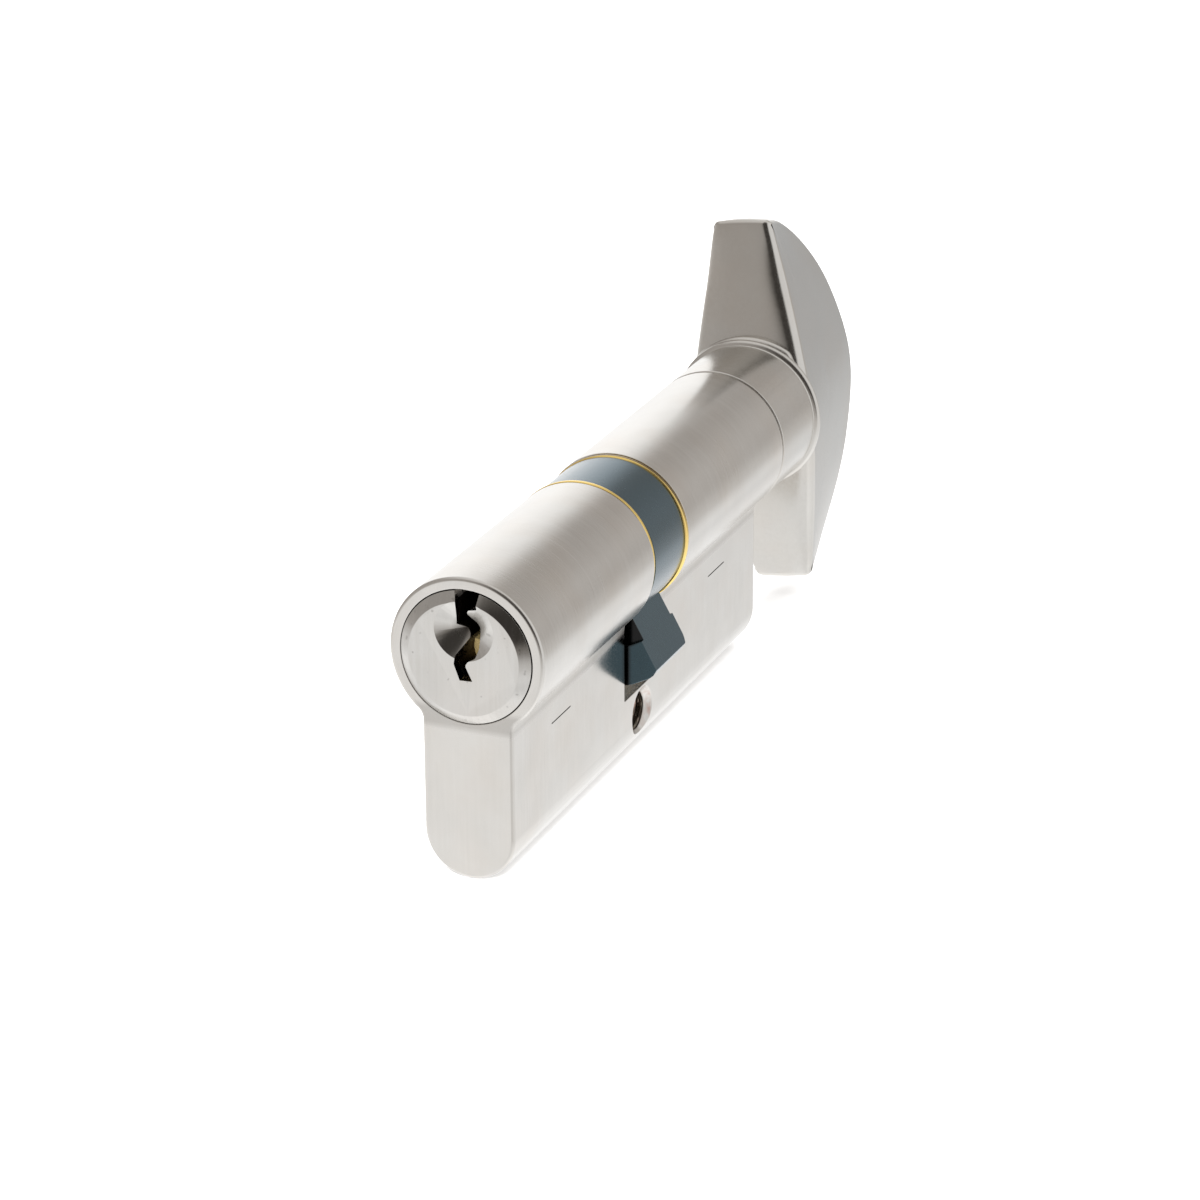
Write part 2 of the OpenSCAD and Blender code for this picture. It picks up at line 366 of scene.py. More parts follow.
def brushed_metal(name, light, dark, rough, lines, fine=5000.0, bump=0.05, wear=0.0, spots=0.0,
                  metallic=1.0, detail=None, finish=None):
    """Metal with fine grinding lines.

    lines: "profile" for lines that run round the profile on its sides and upright on its end faces,
    "upright" for upright lines, "turned" for lines round the cylinder's axis, "blasted" for an even
    fine grain. detail changes the colour of some places, and finish their roughness.
    """
    mat, g, bsdf = new_material(name)
    obj = g.add("ShaderNodeTexCoord").outputs["Object"]
    normal = g.split(g.add("ShaderNodeNewGeometry").outputs["Normal"])
    upright = g.scaled(obj, fine * 0.5, LINE_SCALE * 0.5, LINE_SCALE * 0.5)
    if lines == "profile":
        sides = g.noise(g.scaled(obj, LINE_SCALE, fine, LINE_SCALE), 1.0, 4.0, 0.65)
        facing_end = g.span(g.math("ABSOLUTE", normal[1]), 0.6, 0.8)
        grain = g.mix(facing_end, sides, g.noise(upright, 1.0, 5.0, 0.75))
        grain = g.add("ShaderNodeSeparateColor", {0: grain}).outputs[0]
    elif lines == "upright":
        grain = g.noise(upright, 1.0, 4.0, 0.65)
    elif lines == "turned":
        x, y, z = g.split(obj)
        ring = g.add("ShaderNodeCombineXYZ", {0: g.math("MULTIPLY", g.off_axis(x, z), fine),
                                              1: g.math("MULTIPLY", y, fine), 2: 0.0})
        grain = g.noise(ring.outputs[0], 1.0, 4.0, 0.6)
    else:
        grain = g.noise(g.scaled(obj, fine, fine, fine), 1.0, 2.0, 0.5)
    blotch = g.noise(obj, 220.0, 3.0, 0.55)
    broad = g.noise(obj, 60.0, 2.0, 0.5)
    shade = g.math("ADD", g.math("MULTIPLY", g.span(grain, 0.3, 0.7), 0.55),
                   g.math("MULTIPLY", g.span(blotch, 0.3, 0.7), 0.45))
    colour = g.mix(shade, dark, light)
    if wear:
        edge = g.add("ShaderNodeNewGeometry").outputs["Pointiness"]
        bare = rgb(*(min(1, channel * gain) for channel, gain in zip(light, (1.12, 1.11, 1.1))))
        colour = g.mix(g.math("MULTIPLY", g.span(edge, 0.51, 0.56), wear), colour, bare)
    if spots:
        speck = g.noise(obj, 1400.0, 1.0, 0.5)
        colour = g.mix(g.math("MULTIPLY", g.span(speck, 0.70, 0.76), spots), colour,
                       rgb(*(channel * 0.5 for channel in dark[:3])))
    warm = g.noise(obj, 130.0, 2.0, 0.5)
    colour = g.mix(g.span(warm, 0.45, 0.75, 0.0, 0.5), colour, rgb(1.0, 0.955, 0.915), "MULTIPLY")
    if detail:
        colour = detail(g, obj, colour)
    g.feed(colour, bsdf["Base Color"])
    g.feed(metallic, bsdf["Metallic"])
    roughness = g.math("ADD", g.span(grain, 0.25, 0.75, rough - 0.03, rough + 0.04),
                       g.span(broad, 0.3, 0.7, -0.02, 0.02))
    if finish:
        roughness = finish(g, obj, normal, roughness)
    g.feed(roughness, bsdf["Roughness"])
    relief = g.add("ShaderNodeBump", {"Height": grain, "Strength": bump, "Distance": 0.00003})
    g.feed(relief.outputs[0], bsdf["Normal"])
    return mat


def housing_details(g, obj, colour):
    """Bare brass in the threaded hole, darkened as painted shade, a worn spot on its countersink, and
    engraved marks darkened as painted shade.
    """
    x, y, z = g.split(obj)
    from_hole = g.distance(y, z)
    depth = g.math("ABSOLUTE", x)
    # Painted shade: the bare brass deep in the threaded hole is darkened to the shade inside it.
    in_hole = g.product(g.span(from_hole, 0.00262, 0.00256), g.span(depth, 0.00435, 0.00415))
    colour = g.mix(in_hole, colour, rgb(0.21, 0.185, 0.15))
    worn = g.product(g.span(y, 0.0008, 0.0020), g.span(depth, 0.00498, 0.00482),
                     g.span(from_hole, 0.0031, 0.0028),
                     g.span(g.noise(obj, 700.0, 2.0), 0.42, 0.72, 0.0, 0.8))
    colour = g.mix(worn, colour, rgb(0.50, 0.34, 0.29))
    from_line = g.math("ABSOLUTE", g.math("SUBTRACT", z, (AXIS_Z + MARK_Z) * MM))
    from_middle = g.math("ABSOLUTE", g.math("SUBTRACT", g.math("ABSOLUTE", y), MARK_Y * MM))
    # Painted shade: the floors of the engraved marks' grooves are darkened.
    mark = g.product(g.span(from_line, 0.00013, 0.00011), g.span(depth, 0.00497, 0.00490),
                     g.span(from_middle, 0.0026, 0.0025))
    return g.mix(mark, colour, rgb(0.17, 0.155, 0.14))


def housing_finish(g, obj, normal, roughness):
    """Smoother flat sides, and a duller blasted fillet between the round part and the web."""
    z = g.split(obj)[2]
    flat = g.span(g.math("ABSOLUTE", normal[0]), 0.97, 0.995, 0.0, 0.07)
    fillet = g.product(g.span(z, 0.0107, 0.0114), g.span(z, 0.0136, 0.0129))
    return g.math("ADD", g.math("SUBTRACT", roughness, flat), g.math("MULTIPLY", fillet, 0.26))


def keyway_shade(g, obj, colour):
    """Painted shade: darkens everything inside the keyway, behind the plug's face."""
    x, y, z = g.split(obj)
    deep_shade = g.product(g.span(y, -0.0350, -0.0342), g.span(g.off_axis(x, z), 0.0064, 0.0062))
    # Painted shade inside the keyway, beyond the plug's face.
    return g.mix(deep_shade, colour, rgb(0.055, 0.039, 0.024))


def keyway_finish(g, obj, normal, roughness):
    """Dull walls inside the keyway."""
    return g.math("ADD", roughness, g.span(g.split(obj)[1], -0.0350, -0.0342, 0.0, 0.35))


def cam_shade(g, obj, colour):
    """Painted shade on the lever's recessed neck and along the side that faces the housing."""
    x, y, z = g.split(obj)
    radius = g.off_axis(x, z)
    neck = g.product(g.span(radius, 0.0083, 0.0084), g.span(radius, 0.0112, 0.0109),
                     g.span(y, -0.00380, -0.00387))
    side = g.product(g.span(x, 0.0056, 0.0051), g.span(y, -0.0042, -0.00435),
                     g.span(radius, 0.0106, 0.0108))
    # Painted shade: near-black where the neck is recessed and beside the housing.
    return g.mix(g.math("MAXIMUM", neck, side), colour, rgb(0.006, 0.007, 0.009))


def rim_shade(g, obj, colour):
    """Painted shade on the brass round the outside, except low on the right, where the ring stands proud."""
    end_on = g.math("ABSOLUTE", g.split(g.add("ShaderNodeNewGeometry").outputs["Normal"])[1])
    x, y, z = g.split(obj)
    low_right = g.math("SUBTRACT", g.math("MULTIPLY", x, 0.906),
                       g.math("MULTIPLY", g.math("SUBTRACT", z, AXIS_Z * MM), 0.42))
    rim_shadow = g.product(g.span(end_on, 0.45, 0.25), g.span(low_right, 0.0074, 0.0050))
    # Painted shade: the clip's outer face is darkened to brown except where it stands proud.
    return g.mix(rim_shadow, colour, rgb(0.26, 0.19, 0.095))


nickel = brushed_metal(
    "satin_nickel", rgb(0.668, 0.653, 0.628), rgb(0.592, 0.573, 0.543), 0.235, "profile",
    wear=0.3, detail=housing_details, finish=housing_finish)
plug_nickel = brushed_metal(
    "plug_nickel", rgb(0.605, 0.594, 0.575), rgb(0.530, 0.515, 0.490), 0.155, "upright",
    bump=0.06, wear=0.2, spots=0.4, detail=keyway_shade, finish=keyway_finish)
knob_nickel = brushed_metal(
    "knob_nickel", rgb(0.640, 0.625, 0.598), rgb(0.605, 0.588, 0.558), 0.22, "blasted",
    fine=2600.0, bump=0.015, wear=0.2)
blued = brushed_metal(
    "blued_steel", rgb(0.056, 0.104, 0.134), rgb(0.040, 0.082, 0.108), 0.25, "blasted",
    fine=2200.0, bump=0.02, wear=0.4, detail=cam_shade)
blued_bsdf = next(n for n in blued.node_tree.nodes if n.type == "BSDF_PRINCIPLED")
for oil_film, amount in (("Coat Weight", 0.65), ("Coat Roughness", 0.2), ("Coat IOR", 1.5)):
    blued_bsdf.inputs[oil_film].default_value = amount
brass = brushed_metal(
    "brass", rgb(0.90, 0.70, 0.33), rgb(0.72, 0.52, 0.22), 0.24, "turned", bump=0.06, metallic=0.55)
CLIP_BRASS = (rgb(1.0, 0.78, 0.30), rgb(0.88, 0.62, 0.20), 0.22, "turned")
gold_brass = brushed_metal("front_clip_brass", *CLIP_BRASS, bump=0.04)
rim_brass = brushed_metal("rear_clip_brass", *CLIP_BRASS, bump=0.04, detail=rim_shade)
steel = brushed_metal("plain_steel", rgb(0.56, 0.55, 0.54), rgb(0.42, 0.41, 0.40), 0.26, "turned")
black = brushed_metal(
    "black_steel", rgb(0.06, 0.06, 0.065), rgb(0.03, 0.03, 0.033), 0.4, "blasted", bump=0.08)


def paint(ob, mat):
    ob.data.materials.clear()
    ob.data.materials.append(mat)
    return ob


# ---------------------------------------------------------------- housing

WEB, ROUND, FOOT_Z, FILLET = 5.0, 8.5, -19.5, 1.5     # radii, and the height of the foot's centre
FILLET_X = WEB + FILLET
FILLET_Z = -math.sqrt((ROUND + FILLET) ** 2 - FILLET_X ** 2)


def profile_outline(inset):
    """The euro profile, moved inwards by inset."""
    touch = math.degrees(math.atan2(FILLET_Z, FILLET_X))
    foot = arc(0, FOOT_Z, WEB - inset, 180, 360, 48)
    side = [(WEB - inset, FOOT_Z + (FILLET_Z - FOOT_Z) * k / 4) for k in (1, 2, 3)]
    right = arc(FILLET_X, FILLET_Z, FILLET + inset, 180, 180 + touch, 10)
    top = arc(0, 0, ROUND - inset, touch, 180 - touch, 150)
    left = [(-x, z) for x, z in reversed(right)]
    return foot + side + right + top[1:-1] + left + [(-x, z) for x, z in reversed(side)]


def thread_cutter():
    """The M5 thread of the fixing hole, with its countersinks, as a tool to cut with."""
    sides, half_length, step = 64, 6.0, 0.08
    minor_r, pitch, thread_depth = 2.1, 0.8, 0.38
    thread_end, sink_start = 4.3, 4.2
    rows = int(2 * half_length / step)
    rings = []
    for k in range(rows + 1):
        x = -half_length + 2 * half_length * k / rows
        depth = thread_depth * ramp(thread_end - abs(x), 0.0, 0.45)
        ring = []
        for i in range(sides):
            a = 2 * math.pi * i / sides
            phase = (x / pitch - i / sides) % 1.0
            wave = ramp(1.35 * (1 - abs(2 * phase - 1)), 0.15, 1.15)
            r = minor_r + (depth * wave if abs(x) < sink_start else abs(x) - sink_start)
            ring.append((x, r * math.cos(a), r * math.sin(a) - AXIS_Z))
        rings.append(ring)
    return skin("thread", rings)


def build_housing():
    edge = [(0.0, 0.40), (0.03, 0.25), (0.12, 0.12), (0.25, 0.03), (0.40, 0.0)]
    sections = [(KEY_Y + dy, inset) for dy, inset in edge]
    sections += [(TURN_Y - dy, inset) for dy, inset in reversed(edge)]
    body = skin("cylinder_body", [[(x, y, z) for x, z in profile_outline(inset)] for y, inset in sections])
    cut(body, block("gap", (-12, -GAP, GAP_FOOT), (12, GAP, 12)))
    cut(body, lathe("bore", [(0, -36), (HEAD_BORE_R, -36), (HEAD_BORE_R, -33.5), (BORE_R, -33.5),
                             (BORE_R, 36), (0, 36)], 192))
    bevel(body, 0.11, 2, 50)
    cut(body, thread_cutter())
    for y in PIN_Y:
        cut(body, post("chamber", [(0, -26), (1.6, -26), (1.6, -22.3), (1.55, -22.3), (1.55, 0), (0, 0)],
                       y, 48))
    for side in (-1, 1):
        for y in (-MARK_Y, MARK_Y):
            x0, x1 = sorted((side * 4.8, side * 5.3))
            cut(body, block("mark", (x0, y - 2.5, MARK_Z - 0.08), (x1, y + 2.5, MARK_Z + 0.06)))
    return smooth(body, 32)


housing = paint(build_housing(), nickel)
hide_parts("cylinder_body")
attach(housing, "housing")


# ---------------------------------------------------------------- key plug

# The keyway's outline: x, z and corner radius.
KEYWAY = [(-0.42, -2.3, 0.05), (0.98, -2.25, 0.05), (0.2, -0.65, 0.4), (0.5, -0.2, 0.3), (1.3, 0.25, 0.5),
          (1.6, 1.2, 0.5), (1.65, 3.45, 0.4), (1.3, 3.85, 0.3), (0.6, 4.3, 0.4), (0.2, 4.7, 0.3),
          (0.4, 5.15, 0.25), (1.45, 5.45, 0.15), (1.7, 8.0, 0), (-1.4, 8.0, 0), (-0.8, 6.2, 0.2),
          (-1.05, 3.4, 0.1), (0.0, 3.0, 0.3), (0.38, 2.5, 0.3), (0.38, 2.1, 0.3), (-0.9, 0.3, 0.5),
          (-1.05, -0.6, 0.3)]
FACE_Y = -35.72                  # the plug stands a little proud of the housing


def build_plug():
    head_r = 7.16
    pts = [(0, FACE_Y), (6.1, FACE_Y), (head_r, -35.05), (head_r, -33.62), (CORE_R, -33.62), (CORE_R, -4.95),
           (GROOVE_R, -4.95), (GROOVE_R, -4.25), (CORE_R, -4.25), (CORE_R, -3.5), (4.9, -3.5), (4.9, -1.15),
           (0, -1.15)]
    radii = [0, 0.16, 0.03, 0.05, 0.05, 0.06, 0.05, 0.05, 0.06, 0.1, 0.1, 0.1, 0]
    plug = lathe("key_plug", rounded(pts, radii), 192)
    keyway = rounded([(x, z) for x, z, r in KEYWAY], [r for x, z, r in KEYWAY], closed=True, steps=6)
    cut(plug, prism("keyway", keyway, -37, 1))
    dish = lathe("dish", [(0, 1.45), (3.25, 0), (4.15, -0.4), (0, -0.4)], 128)
    dish.data.transform(Matrix.Translation((0.1 * MM, FACE_Y * MM, 3.1 * MM)))
    cut(plug, dish)
    bevel(plug, 0.05, 2, 50)
    for y in PIN_Y:
        cut(plug, post("chamber", [(0, -8), (1.55, -8), (1.55, 2.8), (0, 2.8)], y, 48))
    cut(plug, block("slot", (-BLADE, -5.7, -4.95), (BLADE, 0, 4.95)))
    return smooth(plug, 20)


plug = paint(build_plug(), plug_nickel)
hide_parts("key_plug")
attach(plug, "plug")


# ---------------------------------------------------------------- clips

def build_clip(name, profile, shift):
    """A C-ring; shift is how far the sprung ring sits off the axis, as (x, z)."""
    ring = lathe(name, profile, 160, closed=True)
    ring.data.transform(Matrix.Translation((shift[0] * MM, 0, shift[1] * MM)))
    front, rear = profile[0][1], profile[-1][1]
    cut(ring, block("opening", (-1.8, front - 1, -10), (1.8, rear + 1, 0)))
    bevel(ring, 0.05, 2, 30)
    return smooth(ring, 35)


FRONT_RING = [(5.65, -4.80), (8.28, -4.80), (8.38, -4.70), (8.38, -4.36), (8.28, -4.26), (5.65, -4.26)]
REAR_RING = [(5.65, 4.21), (8.31, 4.21), (8.49, 4.39), (8.49, 4.78), (8.45, 4.82), (5.65, 4.82)]
for clip_name, node, profile, shift, metal, body in (
        ("front_clip", "front_retaining_clip", FRONT_RING, (-0.10, 0.13), gold_brass, "plug"),
        ("rear_clip", "rear_retaining_clip", REAR_RING, (0.07, -0.05), rim_brass, "turn")):
    clip = paint(build_clip(clip_name, profile, shift), metal)
    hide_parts(node)
    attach(clip, body)


# ---------------------------------------------------------------- cam

LEVER_LEAN = math.radians(25.5)              # how far the lever hangs from straight down
RING_R, RING_HALF = 8.3, 4.2


def build_lever(name, side, y0, y1, round_end):
    """Part of the cam's lever, from y0 to y1.

    side is one edge of its outline, as distances from the axis and from the lever's middle.
    round_end rounds its outer end as seen from the side.
    """
    path = rounded(side + [(u, -v) for u, v in reversed(side)],
                   [0, 0.15] + [0.1] * (2 * len(side) - 4) + [0.15, 0], closed=True, steps=4)
    c, d = math.cos(LEVER_LEAN), math.sin(LEVER_LEAN)
    lever = prism(name, [(u * d + v * c, -u * c + v * d) for u, v in path], y0, y1)
    if round_end:
        tip = 15.07
        end = rounded([(5, y0), (tip, y0), (tip, y1), (5, y1)], [0, 0.12, 1.8, 0], closed=True, steps=10)
        cut(lever, slab("end", [(u * d + v * c, y, -u * c + v * d) for v in (-4, 4) for u, y in end]),
            operation="INTERSECT")
    return lever


def build_cam():
    ring = [(0, -RING_HALF), (RING_R, -RING_HALF), (RING_R, RING_HALF), (0, RING_HALF)]
    cam = lathe("cam", ring, 192)
    neck = [(7.0, 2.03), (8.49, 2.12), (10.9, 2.28), (11.2, 2.296)]
    head = [(10.9, 2.28), (14.46, 2.47), (14.86, 1.9), (15.02, 1.31), (15.06, 0.6)]
    cut(cam, build_lever("neck", neck, -3.9, 4.0, False), operation="UNION")
    cut(cam, build_lever("head", head, -4.45, 4.55, True), operation="UNION")
    bevel(cam, 0.12, 3, 45)
    cut(cam, lathe("bore", [(0, -6), (6.6, -6), (6.6, -3.4), (6.2, -3.4), (6.2, -1.2), (5.0, -1.2),
                            (5.0, 1.15), (6.2, 1.15), (6.2, 3.4), (6.6, 3.4), (6.6, 6), (0, 6)], 128))
    slot = lathe("slot", [(0, -2), (6.2, -2), (6.2, 2), (0, 2)], 96)
    cut(slot, block("web", (-BLADE, -2.5, -10), (BLADE, 2.5, 10)), operation="INTERSECT")
    cut(cam, slot)
    return smooth(cam, 32)


cam = paint(build_cam(), blued)
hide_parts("cam")
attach(cam, "cam_ring")


# ---------------------------------------------------------------- knob

FRONT_Y, SLOPE = 45.93, 0.22     # where the front facets meet, and how fast they lean back
BACK_R, BACK_Y = 22.5, 47.4      # the round back's radius and centre
TIP = 22.26                      # half the grip's height
CENTRE = (0.0, 57.0)             # middle of the grip's flat side, as (height along the grip, y)
FRONT_STEPS, BACK_STEPS = 61, 97


def front_y(s):
    """The front facets' y at height s along the grip."""
    return FRONT_Y + SLOPE * (math.sqrt(s * s + 2.0) - 0.1)


def half_width(s, y):
    """Half the grip's thickness at height s along it and depth y."""
    at_front = 8.45 - 0.212 * math.sqrt(s * s + 16.0)
    taper = 0.127 + 0.12 * max(0.0, (abs(s) - 9.0) / 13.0) ** 2.4
    return at_front - taper * (y - front_y(s))


def grip_outline():
    """The grip seen from the side: two front facets and a round back, as (s, y)."""
    front = [(s, front_y(s)) for s in np.linspace(-TIP, TIP, FRONT_STEPS)]
    open_angle = math.degrees(math.asin(TIP / BACK_R))
    back = [(BACK_R * math.sin(math.radians(a)), BACK_Y + BACK_R * math.cos(math.radians(a)))
            for a in np.linspace(open_angle, -open_angle, BACK_STEPS)][1:-1]
    corners = (front[0], front[-1])
    pts = [p for p in front + back if abs(p[0]) < TIP - 1.3 or p in corners or p[1] > 52.3]
    return rounded(pts, [1.35 if p in corners else 0.0 for p in pts], closed=True, steps=9)


def grip_column(s, y, out):
    """Points from the rim's middle at (s, y) over its fillet and along one side to the centre.

    out is the rim's outward direction. Each point is (height along the grip, y, distance from the
    grip's middle plane).
    """
    width, probe = half_width(s, y), 0.05
    rate = (width - half_width(s - probe * out.x, y - probe * out.y)) / probe
    back, near_tip = ramp(y, 52.0, 57.0), ramp(abs(s), 14.0, 21.0)
    fillet = 1.45 - 0.5 * ease(near_tip) * (1 - back) - 0.9 * ease(back)
    soft = 0.13 * (1 - back) * (1 - near_tip ** 2)       # how far the facets bow into the fillet
    crown = 0.2 * ramp(y, 50.4, 51.6)                    # how far the back bulges
    start, end = math.atan((6 * soft + 2 * crown) / width), math.atan2(1.0, -rate)
    depth = soft + crown + fillet * math.cos(start)
    middle = width - rate * depth - fillet * math.sqrt(1 + rate * rate)
    half = []
    for f in ((k / 9) ** 0.6 for k in range(9)):
        half.append((-soft * f ** 6 - crown * f * f, (middle + fillet * math.sin(start)) * f))
    for a in (start + (end - start) * k / 10 for k in range(11)):
        half.append((fillet * math.cos(a) - depth, middle + fillet * math.sin(a)))
    column = [(s + d * out.x, y + d * out.y, t) for d, t in half]
    inner = column[-1]
    for rho in (1 - k / 12 for k in range(1, 12)):
        ps, py = (c + (p - c) * rho for c, p in zip(CENTRE, inner))
        column.append((ps, py, half_width(ps, py)))
    return column


def build_grip():
    outline = grip_outline()
    n = len(outline)
    columns = []
    for i, (s, y) in enumerate(outline):
        (s0, y0), (s1, y1) = outline[i - 1], outline[(i + 1) % n]
        along = Vector((s1 - s0, y1 - y0)).normalized()
        out = Vector((along.y, -along.x))
        if out.dot(Vector((s - CENTRE[0], y - CENTRE[1]))) < 0:
            out = -out
        column = grip_column(s, y, out)
        columns.append([(p[0], p[1], -p[2]) for p in reversed(column[1:])] + column)
    rows = len(columns[0])
    centre_w = half_width(*CENTRE)
    verts = [p for column in columns for p in column] + [(*CENTRE, -centre_w), (*CENTRE, centre_w)]
    faces = []
    for i in range(n):
        a, b = i * rows, ((i + 1) % n) * rows
        faces += [[a + k, b + k, b + k + 1, a + k + 1] for k in range(rows - 1)]
        faces += [[n * rows, b, a], [n * rows + 1, a + rows - 1, b + rows - 1]]
    c, d = math.cos(KNOB_LEAN), math.sin(KNOB_LEAN)
    return mesh_object("turn_knob", [(t * c - s * d, y, s * c + t * d) for s, y, t in verts], faces)


def build_knob():
    """The grip on its collar; the collar's beaded end is flattened where the grip's sides pass."""
    knob = build_grip()
    bead = [(8.40 + 0.55 * math.cos(math.radians(a)), 46.18 + 0.55 * math.sin(math.radians(a)))
            for a in range(-75, 61, 9)]
    swell = [(8.78, 46.72), (8.86, 46.80), (8.97, 46.92), (9.05, 47.08), (9.06, 47.25), (8.98, 47.45),
             (8.80, 47.7), (8.5, 48.05), (8.15, 48.5), (7.8, 49.1), (7.5, 49.9)]
    flat_at = [46.72, 47.0, 47.25, 47.7, 48.5, 49.9]
    flat_radii = [8.72, 8.45, 8.2, 7.85, 7.6, 7.3]
    collar = rounded([(0, 35.15), (8.5, 35.15), (8.5, 45.2), (8.3, 45.42), (8.42, 45.62)],
                     [0, 0.16, 0.12, 0.1, 0])
    hub = lathe("hub", collar + bead + swell + [(0, 50.5)], 224)
    c, d = math.cos(KNOB_LEAN), math.sin(KNOB_LEAN)
    for v in hub.data.vertices:
        x, y, z = v.co.x / MM, v.co.y / MM, v.co.z / MM - AXIS_Z
        r = math.hypot(x, z)
        if y > 46.71 and r > 1:
            flat_r = float(np.interp(y, flat_at, flat_radii))
            f = 1 + ease(ramp(abs(x * c + z * d) / r, 0.6, 0.8)) * (min(1.0, flat_r / r) - 1)
            v.co = (x * f * MM, y * MM, (z * f + AXIS_Z) * MM)
    cut(knob, hub, operation="UNION")
    cut(knob, lathe("bore", [(0, 34), (5.55, 34), (5.55, 42.1), (0, 42.1)], 96))
    screw_hole = post("screw_hole", [(0, -12), (1.7, -12), (1.7, -8.38), (1.45, -8.2), (1.45, 0), (0, 0)],
                      KNOB_SCREW_Y, 48)
    cut(knob, lean(screw_hole))
    return smooth(knob, 30)


def lean(ob):
    """Turns a piece about the cylinder's axis by the knob's lean."""
    pivot = Matrix.Translation((0, 0, AXIS_Z * MM))
    ob.data.transform(pivot @ Matrix.Rotation(-KNOB_LEAN, 4, "Y") @ pivot.inverted())
    return ob


knob = paint(build_knob(), knob_nickel)
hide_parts("turn_knob")
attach(knob, "turn")


def build_screw():
    profile = rounded([(0, -8.2), (1.25, -8.2), (1.4, -8.05), (1.4, -5.5), (0.9, -5.15), (0, -5.15)],
                      [0, 0.05, 0.05, 0.1, 0.1, 0])
    screw = post("grub_screw", profile, KNOB_SCREW_Y, 48)
    cut(screw, post("socket", [(0, -9), (0.85, -9), (0.85, -7.0), (0, -6.7)], KNOB_SCREW_Y, 6))
    return smooth(lean(screw), 35)


screw = paint(build_screw(), black)
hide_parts("knob_grub_screw")
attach(screw, "turn")


# ---------------------------------------------------------------- pins, springs and caps

KEY_TIPS = [0.3, -0.5, 0.1, -0.8, -0.2]      # height of each key pin's tip
CAP_TOP = -22.3


def spring_path(y):
    """A driver pin's spring, with closed coils at both ends."""
    turns, radius, steps = 7.0, 1.15, 168
    low, high = -22.05, -11.85
    path = []
    for k in range(steps + 1):
        a = 2 * math.pi * turns * k / steps
        z = low + (high - low) * ramp(k / steps, 0.1, 0.9) + 0.0004 * k
        path.append((radius * math.cos(a), y + radius * math.sin(a), z))
    return path


def clutch_spring_path():
    """The couplers' spring, with closed coils at both ends."""
    turn, radius, steps = 0.2618, 2.6, 144
    front, length = 3.72, 8.75
    return [(radius * math.cos(turn * k), front + length * ramp(k / steps, 0.1, 0.9),
             radius * math.sin(turn * k)) for k in range(steps + 1)]


for i, y in enumerate(PIN_Y):
    tip = KEY_TIPS[i]
    profile = rounded([(0, -6.3), (PIN_R, -6.3), (PIN_R, tip - 0.14), (1.34, tip), (0, tip)],
                      [0, 0.12, 0.05, 0.05, 0])
    pin = post(f"brass_key_pin_{i + 1}", profile, y)
    paint(smooth(pin, 40), brass)
    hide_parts(f"key_pin_{i + 1}")
    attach(pin, f"key_pin_body_{i + 1}")

    profile = rounded([(0, -11.6), (PIN_R, -11.6), (PIN_R, -6.6), (0, -6.6)], [0, 0.15, 0.15, 0])
    driver = post(f"brass_driver_pin_{i + 1}", profile, y)
    paint(smooth(driver, 40), brass)
    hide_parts(f"driver_pin_{i + 1}")
    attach(driver, f"driver_pin_body_{i + 1}")

    spring = tube(f"wire_spring_{i + 1}", spring_path(y), 0.2, 8)
    paint(smooth(spring, 60), steel)
    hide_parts(f"pin_spring_{i + 1}")
    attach(spring, "housing")
    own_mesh(spring)

    outline = arc(0, FOOT_Z, WEB, 200, 340, 40) + [(4.0, CAP_TOP), (-4.0, CAP_TOP)]
    cap = prism(f"end_cap_{i + 1}", outline, y - 3, y + 3)
    cut(cap, post("round", [(0, -26), (1.585, -26), (1.585, -20), (0, -20)], y, 72), operation="INTERSECT")
    bevel(cap, 0.07, 2, 60)
    paint(smooth(cap, 35), nickel)
    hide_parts(f"bore_cap_{i + 1}")
    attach(cap, "housing")

coil = tube("wire_clutch_spring", clutch_spring_path(), 0.35, 10)
paint(smooth(coil, 60), steel)
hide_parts("clutch_spring")
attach(coil, "turn")
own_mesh(coil)


def build_spindle():
    pts = [(0, 1.2), (4.9, 1.2), (4.9, 3.5), (CORE_R, 3.5), (CORE_R, 4.25), (GROOVE_R, 4.25),
           (GROOVE_R, 4.95), (CORE_R, 4.95), (CORE_R, 35.1), (5.5, 35.1), (5.5, 42.0), (0, 42.0)]
    radii = [0, 0.1, 0.05, 0.1, 0.06, 0.05, 0.05, 0.06, 0.12, 0.1, 0.3, 0]
    spindle = lathe("spindle", rounded(pts, radii), 160)
    cut(spindle, lathe("bore", [(0, 3.2), (3.3, 3.2), (3.3, 13), (0, 13.8)], 96),
        block("slot", (-BLADE, 0, -4.95), (BLADE, 5.7, 4.95)))
    cut(spindle, lean(block("flat", (-8, 35.1, -8), (8, 44, -5))))
    return smooth(spindle, 32)


def build_clutch(name, profile):
    """A coupler: a flat blade whose outer parts reach the cam's slot."""
    clutch = lathe(name, profile, 128)
    cut(clutch, block("blade", (-1.45, -8, -8), (1.45, 8, 8)), operation="INTERSECT")
    bevel(clutch, 0.12, 2, 40)
    return smooth(clutch, 32)


KEY_SIDE = [(0, -5.4), (4.8, -5.4), (4.8, -3.4), (6.0, -3.4), (6.0, -1.26), (0, -1.26)]
KNOB_SIDE = [(0, -1.1), (6.0, -1.1), (6.0, 1.1), (4.8, 1.1), (4.8, 3.3), (0, 3.3)]
inner_pieces = (
    (build_spindle(), "turn_spindle", "turn", brass, "brass"),
    (build_clutch("key_side_clutch", KEY_SIDE), "front_clutch", "front_coupler", steel, "steel"),
    (build_clutch("knob_side_clutch", KNOB_SIDE), "rear_clutch", "rear_coupler", steel, "steel"))
for piece, node, body, mat, slot in inner_pieces:
    paint(piece, mat)
    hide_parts(node)
    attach(piece, body)


# ---------------------------------------------------------------- floor, light and camera

